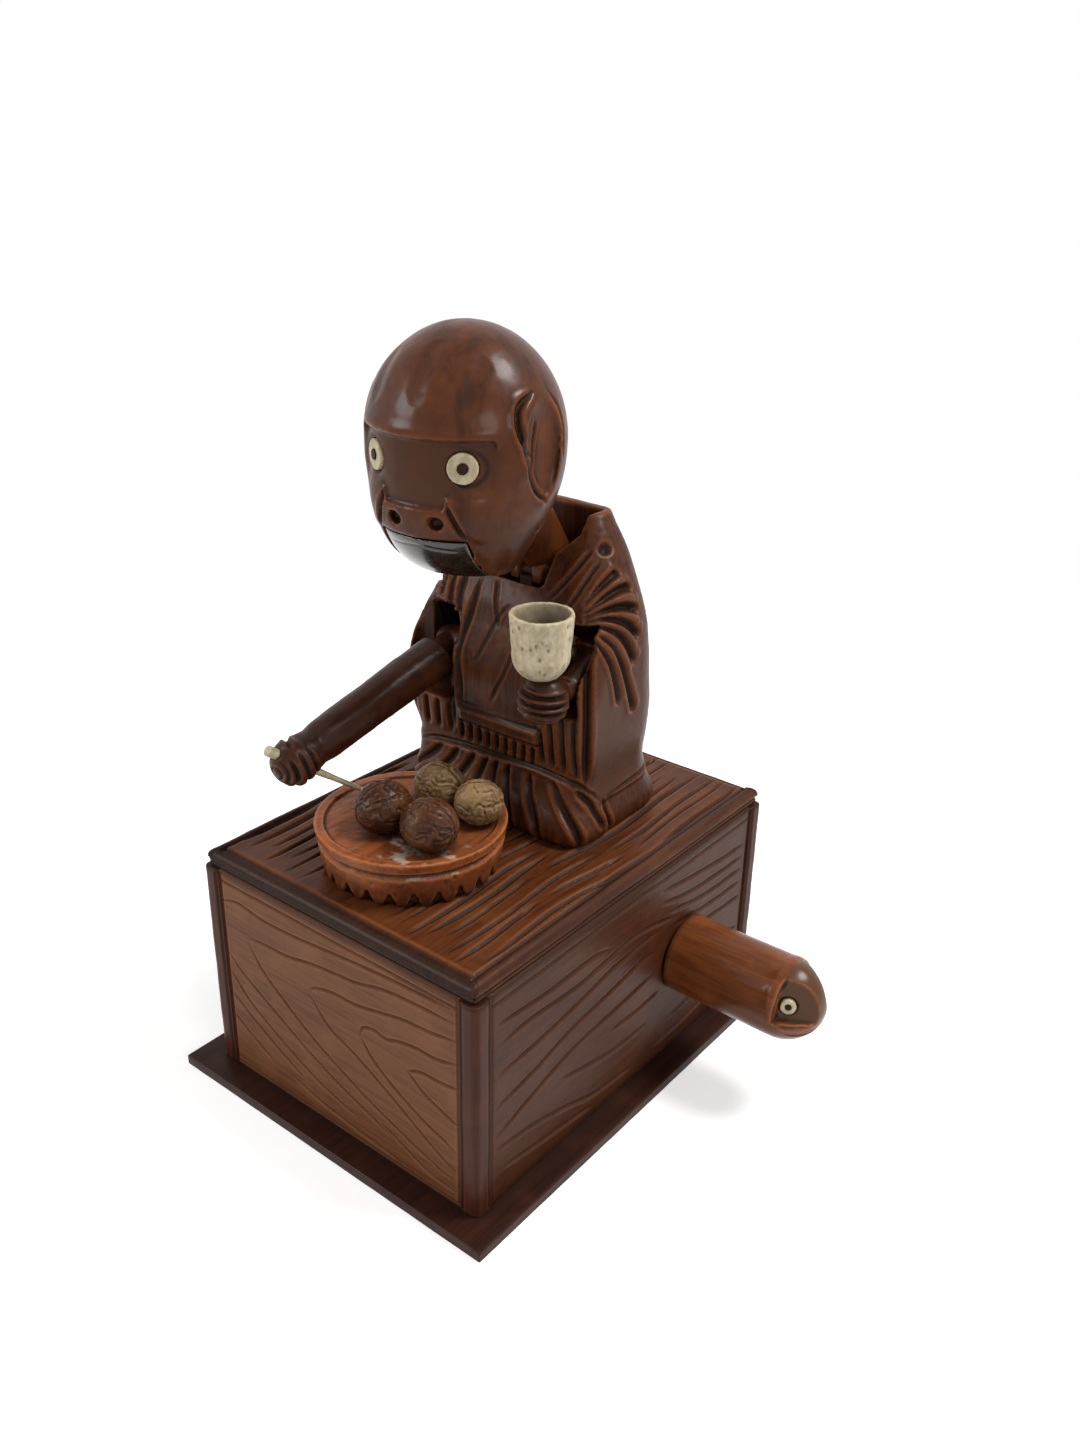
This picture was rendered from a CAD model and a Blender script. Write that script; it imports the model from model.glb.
import itertools
import math
import bpy
import numpy as np
from mathutils import Matrix, Vector
from mathutils.kdtree import KDTree


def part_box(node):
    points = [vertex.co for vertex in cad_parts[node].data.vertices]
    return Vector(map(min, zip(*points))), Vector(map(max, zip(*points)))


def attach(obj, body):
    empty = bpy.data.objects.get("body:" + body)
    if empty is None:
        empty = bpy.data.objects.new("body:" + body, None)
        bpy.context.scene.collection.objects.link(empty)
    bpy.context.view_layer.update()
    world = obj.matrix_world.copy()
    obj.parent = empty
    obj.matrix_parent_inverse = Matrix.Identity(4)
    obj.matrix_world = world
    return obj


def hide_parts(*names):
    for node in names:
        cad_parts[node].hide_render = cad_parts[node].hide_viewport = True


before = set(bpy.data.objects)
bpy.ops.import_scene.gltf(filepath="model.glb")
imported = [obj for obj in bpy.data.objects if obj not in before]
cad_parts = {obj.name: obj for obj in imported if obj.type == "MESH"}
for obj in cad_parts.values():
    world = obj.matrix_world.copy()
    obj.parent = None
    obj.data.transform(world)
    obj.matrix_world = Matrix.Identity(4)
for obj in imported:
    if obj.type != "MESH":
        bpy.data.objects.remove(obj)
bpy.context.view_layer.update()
mm = 0.001  # all shapes below are written in millimetres


# Meshes as arrays

def getCo(piece):
    flat = np.empty(len(piece.data.vertices) * 3)
    piece.data.vertices.foreach_get("co", flat)
    return flat.reshape(-1, 3) / mm


def setCo(piece, co):
    piece.data.vertices.foreach_set("co", (np.asarray(co) * mm).ravel())
    piece.data.update()


def getNormals(piece):
    flat = np.empty(len(piece.data.vertices) * 3)
    piece.data.vertex_normals.foreach_get("vector", flat)
    return flat.reshape(-1, 3)


def getEdges(piece):
    flat = np.empty(len(piece.data.edges) * 2, dtype=np.int32)
    piece.data.edges.foreach_get("vertices", flat)
    return flat.reshape(-1, 2)


def unit(v):
    v = np.asarray(v, float)
    return v / np.linalg.norm(v)


def soften(x, low, high):  # 0 below low, 1 above high, smooth between
    t = np.clip((x - low) / (high - low), 0, 1)
    return t * t * (3 - 2 * t)


def lattice(p):
    q = p.astype(np.int64)
    h = (q[:, 0] * 73856093) ^ (q[:, 1] * 19349663) ^ (q[:, 2] * 83492791)
    h = (h ^ (h >> 13)) * 1274126177
    return (h & 0xffff) / 32767.5 - 1


def cloud(p):  # smooth noise between -1 and 1
    base = np.floor(p)
    f = p - base
    f = f * f * (3 - 2 * f)
    total = np.zeros(len(p))
    for corner in itertools.product((0, 1), repeat=3):
        c = np.array(corner)
        weight = np.prod(np.where(c == 1, f, 1 - f), axis=1)
        total += weight * lattice(base + c)
    return total


def smoothLine(points, step=0.6):  # a curve through the points
    p = np.array(points, float)
    p = np.vstack([2 * p[0] - p[1], p, 2 * p[-1] - p[-2]])
    runs = []
    for a, b, c, d in zip(p, p[1:], p[2:], p[3:]):
        n = max(2, int(np.linalg.norm(c - b) / step))
        t = np.linspace(0, 1, n, endpoint=False)[:, None]
        runs.append(0.5 * (2 * b + (c - a) * t + (2 * a - 5 * b + 4 * c - d) * t ** 2
                           + (3 * b - a - 3 * c + d) * t ** 3))
    runs.append(p[-2:-1])
    return np.vstack(runs)


def nearest(co, line):  # distance to the line, and where along it from 0 to 1
    seg = line[1:] - line[:-1]
    length = np.linalg.norm(seg, axis=1)
    start = np.concatenate([[0], np.cumsum(length)])
    best = np.full(len(co), 1e9)
    along = np.zeros(len(co))
    for a, s, l, st in zip(line, seg, length, start):
        if l < 1e-9:
            continue
        t = np.clip((co - a) @ s / (l * l), 0, 1)
        d = np.linalg.norm(co - a - t[:, None] * s, axis=1)
        closer = d < best
        best[closer] = d[closer]
        along[closer] = st + t[closer] * l
    return best, along / start[-1]


# Objects

def choose(*pieces):
    bpy.ops.object.select_all(action="DESELECT")
    for piece in pieces:
        piece.select_set(True)
    bpy.context.view_layer.objects.active = pieces[0]


def apply(piece, kind, **settings):
    modifier = piece.modifiers.new("step", kind)
    for key, value in settings.items():
        setattr(modifier, key, value)
    choose(piece)
    bpy.ops.object.modifier_apply(modifier="step")
    return piece


def cadCopy(name, nodes):  # one merged copy of these CAD nodes
    copies = []
    for n in nodes:
        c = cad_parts[n].copy()
        c.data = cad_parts[n].data.copy()
        c.parent = None
        for key in list(c.keys()):
            del c[key]
        c.hide_render = c.hide_viewport = False
        bpy.context.scene.collection.objects.link(c)
        copies.append(c)
    choose(*copies)
    if len(copies) > 1:
        bpy.ops.object.join()
    piece = bpy.context.view_layer.objects.active
    piece.name = piece.data.name = name
    piece.data.materials.clear()
    bpy.ops.object.mode_set(mode="EDIT")
    bpy.ops.mesh.select_all(action="SELECT")
    bpy.ops.mesh.remove_doubles(threshold=2e-7)
    bpy.ops.object.mode_set(mode="OBJECT")
    return piece


def clay(name, nodes, voxel, smooth=3):  # CAD shape as an even, dense mesh to carve
    piece = cadCopy(name, nodes)
    apply(piece, "REMESH", mode="VOXEL", voxel_size=voxel * mm)
    if smooth:
        apply(piece, "SMOOTH", factor=0.5, iterations=smooth)
    return piece


def place(piece, body, nodes, paint):
    piece.data.materials.clear()
    piece.data.materials.append(paint)
    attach(piece, body)
    if nodes:
        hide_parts(*nodes)
    print("piece", piece.name, len(piece.data.polygons))
    return piece


class Carving:
    # A mesh while it is being carved: cuts move its points along their first normals.

    def __init__(self, piece, normals=None):
        self.piece = piece
        self.co = getCo(piece)
        self.n = getNormals(piece) if normals is None else np.tile(normals, (len(self.co), 1))
        self.soot = np.zeros(len(self.co))
        self.tone = np.zeros(len(self.co))
        self.edges = getEdges(piece)
        self.first = self.co.copy()
        self.tree = KDTree(len(self.co))
        for i, point in enumerate(self.co):
            self.tree.insert(point, i)
        self.tree.balance()

    def onto(self, line):  # the line laid on the first surface
        laid = []
        for point in line:
            i = self.tree.find(point)[1]
            laid.append(point + self.n[i] * ((self.first[i] - point) @ self.n[i]))
        return np.array(laid)

    def push(self, amount):  # outwards where positive
        self.co += self.n * np.asarray(amount)[:, None]

    def groove(self, points, width, depth, ends=0.2, soot=1.0, lip=0.0, facing=None, flare=0.0):
        line = self.onto(smoothLine(points))
        reach = 2.2 * width * (1 + flare)
        inside = np.all((self.first > line.min(0) - reach) & (self.first < line.max(0) + reach), axis=1)
        if facing is not None:
            inside &= self.n @ unit(facing) > 0.05
        idx = np.nonzero(inside)[0]
        if not len(idx):
            return
        d, t = nearest(self.first[idx], line)
        taper = np.clip(np.minimum(t, 1 - t) / ends, 0, 1) ** 0.7
        if flare:
            taper = np.clip(t / 0.5, 0.25, 1) * soften(1 - t, 0, 0.06)
        w = width * (0.35 + 0.65 * taper) * (1 + flare * t)
        cut = np.clip(1 - d / w, 0, 1)
        cut = cut * cut * (3 - 2 * cut) * taper
        rim = np.exp(-((d - 1.35 * w) / (0.5 * w)) ** 2) * taper
        self.co[idx] += self.n[idx] * (lip * rim - depth * cut)[:, None]
        self.soot[idx] = np.maximum(self.soot[idx], soot * cut ** 0.7)

    def swell(self, centre, radii, amount, soot=0.0, facing=None):  # a soft lump, or a dent
        q = (self.co - np.array(centre, float)) / np.array(radii, float)
        fall = np.clip(1 - (q * q).sum(1), 0, 1) ** 1.5
        if facing is not None:
            fall = fall * (self.n @ unit(facing) > 0.05)
        self.push(amount * fall)
        self.soot = np.maximum(self.soot, soot * np.clip(fall * 1.6, 0, 1))

    def roughen(self, size, amount, seed=0.0):
        self.push(amount * cloud(self.co / size + seed))

    def relax(self, times, weight):  # smoothed where the weight is 1
        for _ in range(times):
            self.co += 0.5 * np.asarray(weight)[:, None] * self.towardNeighbours(self.co)

    def towardNeighbours(self, values):
        a, b = self.edges.T
        total = np.zeros_like(values)
        np.add.at(total, a, values[b])
        np.add.at(total, b, values[a])
        count = np.bincount(self.edges.ravel(), minlength=len(values))
        count = np.maximum(count, 1).reshape((-1,) + (1,) * (values.ndim - 1))
        return total / count - values

    def done(self, spread=3, sharp=1.0):
        setCo(self.piece, self.co)
        polygons = self.piece.data.polygons
        polygons.foreach_set("use_smooth", np.ones(len(polygons), dtype=bool))
        normals = getNormals(self.piece)
        a, b = self.edges.T
        step = np.linalg.norm(self.co[a] - self.co[b], axis=1).mean()
        relief = -(self.towardNeighbours(self.co) * normals).sum(1) / step
        for _ in range(spread):
            relief = relief + 0.6 * self.towardNeighbours(relief)
        relief = np.clip(relief * 9 * sharp, -1, 1)
        self.store("relief", relief)
        self.store("soot", self.soot)
        self.store("tone", self.tone)
        return self.piece

    def store(self, name, values):
        data = self.piece.data.attributes.new(name, "FLOAT", "POINT")
        data.data.foreach_set("value", np.asarray(values, dtype=np.float32))


# Shader trees

class Sock:
    # One output in a shader tree. Arithmetic on it adds Math nodes.

    def __init__(self, tree, out):
        self.tree = tree
        self.out = out

    def calc(self, kind, a, b=0.0):
        n = self.tree.nodes.new("ShaderNodeMath")
        n.operation = kind
        for socket, value in zip(n.inputs, (a, b)):
            if isinstance(value, Sock):
                self.tree.links.new(value.out, socket)
            else:
                socket.default_value = value
        return Sock(self.tree, n.outputs[0])

    def __add__(self, other):
        return self.calc("ADD", self, other)

    def __sub__(self, other):
        return self.calc("SUBTRACT", self, other)

    def __rsub__(self, other):
        return self.calc("SUBTRACT", other, self)

    def __mul__(self, other):
        return self.calc("MULTIPLY", self, other)

    def __neg__(self):
        return self.calc("MULTIPLY", self, -1.0)

    def larger(self, other):
        return self.calc("MAXIMUM", self, other)

    __radd__ = __add__
    __rmul__ = __mul__


class Paint:
    # One material with a Principled shader.

    def __init__(self, name):
        self.material = bpy.data.materials.new(name)
        self.material.use_nodes = True
        self.tree = self.material.node_tree
        self.shader = self.tree.nodes["Principled BSDF"]

    def put(self, socket, value):
        if isinstance(value, Sock):
            self.tree.links.new(value.out, socket)
        elif isinstance(value, (tuple, list)) and len(value) == 3 and socket.type == "RGBA":
            socket.default_value = (*value, 1.0)
        else:
            socket.default_value = value

    def node(self, kind, sockets, output=0, **settings):
        n = self.tree.nodes.new(kind)
        for key, value in settings.items():
            setattr(n, key, value)
        for key, value in sockets.items():
            self.put(n.inputs[key], value)
        return Sock(self.tree, n.outputs[output])

    def place(self, stretch=(1, 1, 1)):  # where a point is, in millimetres, times the stretch
        at = self.node("ShaderNodeTexCoord", {}, output="Object")
        factors = tuple(s / mm for s in stretch)
        return self.node("ShaderNodeVectorMath", {0: at, 1: factors}, operation="MULTIPLY")

    def noise(self, at, scale=1.0, detail=4.0, rough=0.55, bend=0.0):
        return self.node("ShaderNodeTexNoise", {"Vector": at, "Scale": scale, "Detail": detail,
                                                "Roughness": rough, "Distortion": bend}, output="Fac")

    def ramp(self, value, low, high, first=0.0, last=1.0):
        return self.node("ShaderNodeMapRange", {"Value": value, "From Min": low, "From Max": high,
                                                "To Min": first, "To Max": last},
                         interpolation_type="SMOOTHSTEP")

    def mix(self, a, b, factor):
        return self.node("ShaderNodeMix", {0: factor, 6: a, 7: b}, output=2, data_type="RGBA")

    def mark(self, name):
        return self.node("ShaderNodeAttribute", {}, output="Fac", attribute_name=name)

    def bump(self, height, strength, size):
        return self.node("ShaderNodeBump", {"Height": height, "Strength": strength, "Distance": size * mm})

    def done(self, **sockets):
        for key, value in sockets.items():
            self.put(self.shader.inputs[key.replace("_", " ")], value)
        return self.material


def woodPaint(name, look):
    p = Paint(name)
    fibre = p.noise(p.place(look["grain"]), 1.0, 6.0, 0.6, 0.6)
    band = p.noise(p.place([g * 0.22 for g in look["grain"]]), 1.0, 3.0, 0.5, 1.2)
    pores = p.noise(p.place([g * 5 for g in look["grain"]]), 1.0, 2.0, 0.5)
    cloudy = p.noise(p.place(), look["patch"], 4.0, 0.6)
    speck = p.noise(p.place(), 1.9, 3.0, 0.7)
    colour = p.mix(look["dark"], look["mid"], p.ramp(fibre * 0.55 + band * 0.45, 0.36, 0.6))
    colour = p.mix(colour, look["light"], p.ramp(cloudy, 0.48, 0.7) * look["worn"])
    if "other" in look:
        colour = p.mix(colour, p.mix(look["other"], look["dark"], fibre * 0.5), p.mark("tone"))
    soot = p.mark("soot")
    relief = p.mark("relief")
    edge = p.ramp(relief, 0.1, 0.75) * p.ramp(speck, 0.3, 0.62, 0.45, 1.0)
    colour = p.mix(colour, look["edge"], edge * look["edgeWear"])
    hollow = p.ramp(-relief, 0.12, 0.8) * 0.75
    dirt = (soot * p.ramp(speck, 0.2, 0.6, 0.75, 1.0)).larger(hollow) * look["dirt"]
    colour = p.mix(colour, look["grime"], dirt)
    rough = look["rough"] + pores * 0.16 - 0.08 + dirt * 0.22
    height = fibre * 0.6 + pores * 0.4
    return p.done(Base_Color=colour, Roughness=rough, Coat_Weight=look["coat"],
            Coat_Roughness=look["coatRough"], Specular_IOR_Level=look["specular"],
            Normal=p.bump(height, look["bump"], 0.12))


woodBase = {
    "dark": (0.05, 0.017, 0.01), "mid": (0.11, 0.04, 0.02), "light": (0.19, 0.072, 0.03),
    "edge": (0.26, 0.09, 0.032), "grime": (0.012, 0.006, 0.004),
    "grain": (1.6, 1.6, 0.12), "patch": 0.11, "worn": 0.55, "edgeWear": 0.7, "dirt": 1.0,
    "rough": 0.42, "coat": 0.05, "coatRough": 0.25, "bump": 0.25, "specular": 0.1,
}


def wood(name, **changes):
    return woodPaint(name, {**woodBase, **changes})


paints = {
    "head": wood("headWood", dark=(0.0462, 0.0125, 0.0045), mid=(0.0929, 0.0262, 0.0083),
            light=(0.149, 0.0456, 0.0128), other=(0.0743, 0.0303, 0.0146), edge=(0.178, 0.0485, 0.0131),
            rough=0.34, coat=0.16, coatRough=0.2, grain=(0.5, 0.5, 0.05), worn=0.6, bump=0.1),
    "robe": wood("robeWood", dark=(0.0327, 0.0102, 0.0046), mid=(0.0757, 0.0234, 0.0088),
            light=(0.12, 0.0365, 0.0124), other=(0.0869, 0.0347, 0.0181), edge=(0.189, 0.0549, 0.0144),
            rough=0.4, coat=0.08, bump=0.2),
    "arm": wood("armWood", dark=(0.0205, 0.0063, 0.0031), mid=(0.0468, 0.0137, 0.0057),
            light=(0.0761, 0.0222, 0.0084), edge=(0.0999, 0.0296, 0.0107), grain=(1.4, 0.12, 0.5), rough=0.36,
            coat=0.1),
    "front": wood("frontWood", dark=(0.117, 0.0427, 0.0188), mid=(0.167, 0.0666, 0.0296),
            light=(0.212, 0.0898, 0.039), edge=(0.263, 0.111, 0.047), grime=(0.045, 0.018, 0.0088),
            grain=(0.1, 2.2, 1.9), worn=0.5, edgeWear=0.5, dirt=0.85, rough=0.5, coat=0.05, bump=0.35),
    "side": wood("sideWood", dark=(0.0412, 0.0117, 0.0048), mid=(0.0644, 0.0194, 0.0077),
            light=(0.085, 0.0272, 0.0105), edge=(0.103, 0.033, 0.0119), grime=(0.028, 0.011, 0.0056),
            grain=(2.0, 0.1, 1.9), worn=0.5, edgeWear=0.5, dirt=0.9, rough=0.45, coat=0.1, bump=0.3),
    "post": wood("postWood", dark=(0.0343, 0.0088, 0.0048), mid=(0.0607, 0.0166, 0.0084),
            light=(0.0858, 0.0239, 0.0108), edge=(0.112, 0.0322, 0.0144), grain=(1.8, 1.8, 0.08), rough=0.4,
            coat=0.06),
    "lid": wood("lidWood", dark=(0.0559, 0.0151, 0.0055), mid=(0.107, 0.0317, 0.0098),
            light=(0.16, 0.0496, 0.0137), edge=(0.239, 0.0689, 0.0153), grime=(0.008, 0.003, 0.0016),
            grain=(1.7, 0.09, 1.7), worn=0.4, edgeWear=0.55, rough=0.36, coat=0.08, coatRough=0.25, bump=0.3),
    "base": wood("baseWood", dark=(0.0208, 0.007, 0.0044), mid=(0.04, 0.0133, 0.0077),
            light=(0.0624, 0.021, 0.0105), edge=(0.096, 0.0315, 0.0143), grain=(1.8, 0.07, 1.8), rough=0.42,
            coat=0.05, edgeWear=0.1),
    "tray": wood("trayWood", dark=(0.147, 0.0408, 0.0133), mid=(0.259, 0.0744, 0.0228),
            light=(0.378, 0.114, 0.0342), other=(0.5, 0.44, 0.38), edge=(0.504, 0.162, 0.0475),
            grain=(1.2, 0.15, 1.2), worn=0.7, rough=0.4, coat=0.2, bump=0.2),
    "knob": wood("knobWood", dark=(0.12, 0.0323, 0.0097), mid=(0.2, 0.0578, 0.0169),
            light=(0.27, 0.085, 0.0247), other=(0.085, 0.0467, 0.0234), edge=(0.32, 0.102, 0.0292),
            grain=(0.1, 1.5, 1.5), worn=0.6, rough=0.3, coat=0.2, coatRough=0.18, bump=0.12),
    "darkNut": wood("darkNut", dark=(0.0228, 0.0062, 0.0025), mid=(0.0593, 0.018, 0.006),
            light=(0.1, 0.0346, 0.0124), other=(0.118, 0.0449, 0.0149), edge=(0.137, 0.0518, 0.0198),
            grain=(0.9, 0.9, 0.9), rough=0.42, coat=0.15, edgeWear=0.75, bump=0.6),
    "paleNut": wood("paleNut", dark=(0.128, 0.0714, 0.0298), mid=(0.247, 0.15, 0.0651),
            light=(0.33, 0.218, 0.105), other=(0.15, 0.0748, 0.0279), edge=(0.412, 0.286, 0.149),
            grime=(0.055, 0.022, 0.0096), grain=(0.9, 0.9, 0.9), rough=0.45, coat=0.1, edgeWear=0.6,
            bump=0.6),
    "inner": wood("innerWood", dark=(0.2, 0.105, 0.055), mid=(0.32, 0.19, 0.1), light=(0.4, 0.25, 0.14),
                                          grain=(0.15, 1.2, 1.2), rough=0.6, coat=0.0),
    "bamboo": wood("bambooWood", dark=(0.34, 0.22, 0.1), mid=(0.46, 0.32, 0.16), light=(0.55, 0.4, 0.21),
                                            grain=(1.5, 1.5, 0.08), rough=0.55, coat=0.0),
    "plug": wood("plugWood", dark=(0.02, 0.01, 0.006), mid=(0.04, 0.018, 0.01),
            light=(0.06, 0.028, 0.015), grain=(1.5, 1.5, 1.5), rough=0.5, coat=0.0),
}


def bonePaint():
    p = Paint("bone")
    fibre = p.noise(p.place((0.9, 0.9, 0.5)), 1.0, 5.0, 0.6, 0.4)
    stain = p.noise(p.place(), 0.42, 5.0, 0.65, 0.5)
    pits = p.noise(p.place(), 2.6, 3.0, 0.6)
    colour = p.mix((0.46, 0.38, 0.23), (0.62, 0.54, 0.37), p.ramp(fibre, 0.35, 0.62))
    colour = p.mix(colour, (0.3, 0.21, 0.1), p.ramp(stain, 0.58, 0.72) * 0.65)
    colour = p.mix(colour, (0.1, 0.06, 0.03), p.ramp(pits, 0.66, 0.74) * 0.8)
    colour = p.mix(colour, (0.11, 0.08, 0.05), p.mark("tone") * 0.8)
    dirt = p.mark("soot").larger(p.ramp(-p.mark("relief"), 0.2, 0.9) * 0.6)
    colour = p.mix(colour, (0.06, 0.038, 0.02), dirt)
    return p.done(Base_Color=colour, Roughness=0.38 + pits * 0.2, Subsurface_Weight=0.12,
            Subsurface_Scale=0.0012, Subsurface_Radius=(1.0, 0.6, 0.35), Coat_Weight=0.1, Coat_Roughness=0.3,
            Normal=p.bump(fibre * 0.5 + pits * 0.5, 0.3, 0.12))


def lacquerPaint():
    p = Paint("blackLacquer")
    wear = p.noise(p.place(), 0.8, 4.0, 0.6)
    fine = p.noise(p.place((3, 0.6, 3)), 1.0, 3.0, 0.5)
    colour = p.mix((0.003, 0.003, 0.003), (0.012, 0.009, 0.008), p.ramp(wear, 0.4, 0.7))
    return p.done(Base_Color=colour, Roughness=0.16 + wear * 0.16 + fine * 0.05, Coat_Weight=0.7,
            Coat_Roughness=0.1, Specular_IOR_Level=0.4, Normal=p.bump(fine, 0.05, 0.08))


def brassPaint():
    p = Paint("brassNail")
    wear = p.noise(p.place(), 1.5, 4.0, 0.6)
    colour = p.mix((0.4, 0.26, 0.09), (0.16, 0.1, 0.05), p.ramp(wear, 0.4, 0.65))
    return p.done(Base_Color=colour, Metallic=1.0, Roughness=0.3 + wear * 0.25)


paints["bone"] = bonePaint()
paints["lacquer"] = lacquerPaint()
paints["brass"] = brassPaint()
print("stage: paints")


# Box: flat sheets carved along lines, then given their thickness

def sheet(name, origin, u, v, sizeU, sizeV, step):  # an even grid in the plane of u and v
    stepU, stepV = step if isinstance(step, tuple) else (step, step)
    bpy.ops.mesh.primitive_grid_add(x_subdivisions=round(sizeU / stepU), y_subdivisions=round(sizeV / stepV),
            size=1)
    piece = bpy.context.active_object
    piece.name = piece.data.name = name
    flat = getCo(piece) * mm
    co = np.array(origin, float) + np.outer(flat[:, 0] * sizeU, u) + np.outer(flat[:, 1] * sizeV, v)
    setCo(piece, co)
    return piece


def rimOut(piece, moves):  # the sheet's rim drawn out in steps, then closed
    choose(piece)
    bpy.ops.object.mode_set(mode="EDIT")
    bpy.ops.mesh.select_all(action="DESELECT")
    bpy.ops.mesh.select_mode(type="EDGE")
    bpy.ops.mesh.select_non_manifold()
    for scale, centre, shift in moves:
        bpy.ops.mesh.extrude_region_move()
        bpy.ops.transform.resize(value=scale, center_override=[c * mm for c in centre])
        bpy.ops.transform.translate(value=[s * mm for s in shift])
    bpy.ops.mesh.edge_face_add()
    bpy.ops.mesh.select_mode(type="VERT")
    bpy.ops.mesh.select_all(action="SELECT")
    bpy.ops.mesh.normals_make_consistent(inside=False)
    bpy.ops.object.mode_set(mode="OBJECT")


wallTop, lidTop = 41.3, 44.4
panelX, panelY, wallThick, postSize, boxX, boxY = 29.65, 39.15, 3.1, 3.5, 30.0, 39.5
baseThick = 2.0

frontLines = {
    "crown": [(-28, 35), (-22.4, 36.6), (-16.2, 36.2), (-8.7, 36.3), (-1.5, 36.9), (5.6, 37.9), (14, 38.4),
            (26.4, 38.9)],
    "outerUp": [(-20.7, 30.6), (-16.8, 31.3), (-10.7, 31.7), (-4.7, 32.7), (1, 33.6), (5.2, 34.2),
            (10.6, 35.4), (15.8, 36.2), (26.3, 36.8)],
    "outerDown": [(-20.7, 30.6), (-17.4, 26.1), (-12.4, 22.2), (-6, 17.9), (1.1, 14.7), (8, 11.6),
            (14.8, 9.2), (22.1, 7.3), (26, 6.6)],
    "secondUp": [(-5.9, 27), (-5, 28.2), (-2.9, 28.8), (0.7, 29.6), (4.9, 29.9), (10.4, 30.9), (15.7, 32.2),
            (20.8, 32.8), (26.3, 33.7)],
    "secondDown": [(-5.9, 27), (-1.9, 22.5), (4.3, 19.6), (10.4, 16.7), (16.3, 13.3), (22.1, 9.9), (26, 8.5)],
    "thirdUp": [(5.6, 24.4), (6.4, 26), (8.8, 26.9), (11.5, 26.7), (14.2, 27.4), (18.1, 28.2), (21.9, 28.5),
            (26.2, 29.4)],
    "thirdDown": [(5.6, 24.4), (8.5, 20.6), (13.8, 17.4), (19, 14.9), (23.5, 13.2), (26, 12.3)],
    "innerUp": [(15.7, 22.7), (18.6, 24), (22.5, 24.5), (26.2, 24.8)],
    "innerDown": [(15.7, 22.7), (19.2, 20.5), (23, 19), (26.1, 17.9)],
    "left1": [(-26.4, 26.3), (-22.6, 23), (-15.1, 18.6), (-6.3, 14), (0.9, 11.3), (6.5, 9.2), (13, 6.9)],
    "left2": [(-26.2, 22.6), (-21.6, 17.8), (-15.6, 14), (-8.1, 10.6), (-2.3, 8.5), (5, 6.6)],
    "left3": [(-26, 17.6), (-21.2, 14.2), (-14.4, 10.6), (-8.4, 8)],
    "left4": [(-26.2, 12.9), (-21.7, 10), (-16.3, 7.6)],
    "low1": [(9.4, 9), (14.7, 7), (20, 5.2), (26, 4.5)],
    "low2": [(-12.3, 6.9), (-5.1, 5.3), (4.3, 4.2), (13.2, 3.4)],
}
rightLines = {
    "a": [(-34.5, 35.7), (-22.9, 34.6), (-12.2, 34.9), (-6.4, 33.9)],
    "b": [(-34.5, 31.6), (-27.1, 32.2), (-15.7, 31.6), (-7.2, 32), (1.7, 32.5), (13.2, 30.2)],
    "c": [(-34.5, 26.2), (-24.4, 27), (-13.7, 28.2), (-6.1, 29.4), (-0.1, 29.9), (8.2, 30)],
    "d": [(-35, 20.3), (-26, 21.8), (-17.2, 23.6), (-6.7, 25), (2.2, 26.4), (8.1, 26)],
    "e": [(-35, 14.6), (-26.8, 17), (-17, 19.3), (-5.4, 20.6), (2.7, 21.2), (7, 21.6)],
    "f": [(-35, 12.2), (-26.6, 10.9), (-17.4, 8.6), (-9.4, 6.2), (2.4, 4.6)],
    "g": [(-18.8, 15.4), (-11.9, 13.4), (-3.7, 12), (5.6, 11.6)],
    "h": [(7.5, 37.3), (16.5, 36.1), (28.4, 35), (34.6, 34.7)],
    "i": [(7.8, 34.6), (16.9, 33.2), (27.5, 32.4), (34.6, 32)],
    "j": [(10.2, 31.9), (21.9, 30.2), (34.6, 29.4)],
    "k": [(12.2, 28.6), (23.9, 27.3), (34.6, 26.6)],
    "l": [(22.2, 24.6), (28, 23.8), (34.6, 23.4)],
    "m": [(-33, 7.6), (-22, 5.6), (-9.4, 4)],
    "n": [(22, 18.6), (28, 17.4), (34.6, 16.9)],
    "o": [(-6, 16.6), (2.5, 16.4), (9, 16.9)],
    "p": [(12, 8.4), (22, 9.6), (34, 12)],
    "q": [(8, 5), (20, 5.6), (34, 7.6)],
}
sidePlanes = {
    "front": ((0, -panelY), (1, 0), (0, -1)), "back": ((0, panelY), (-1, 0), (0, 1)),
    "right": ((panelX, 0), (0, 1), (1, 0)), "left": ((-panelX, 0), (0, -1), (-1, 0)),
}


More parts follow.
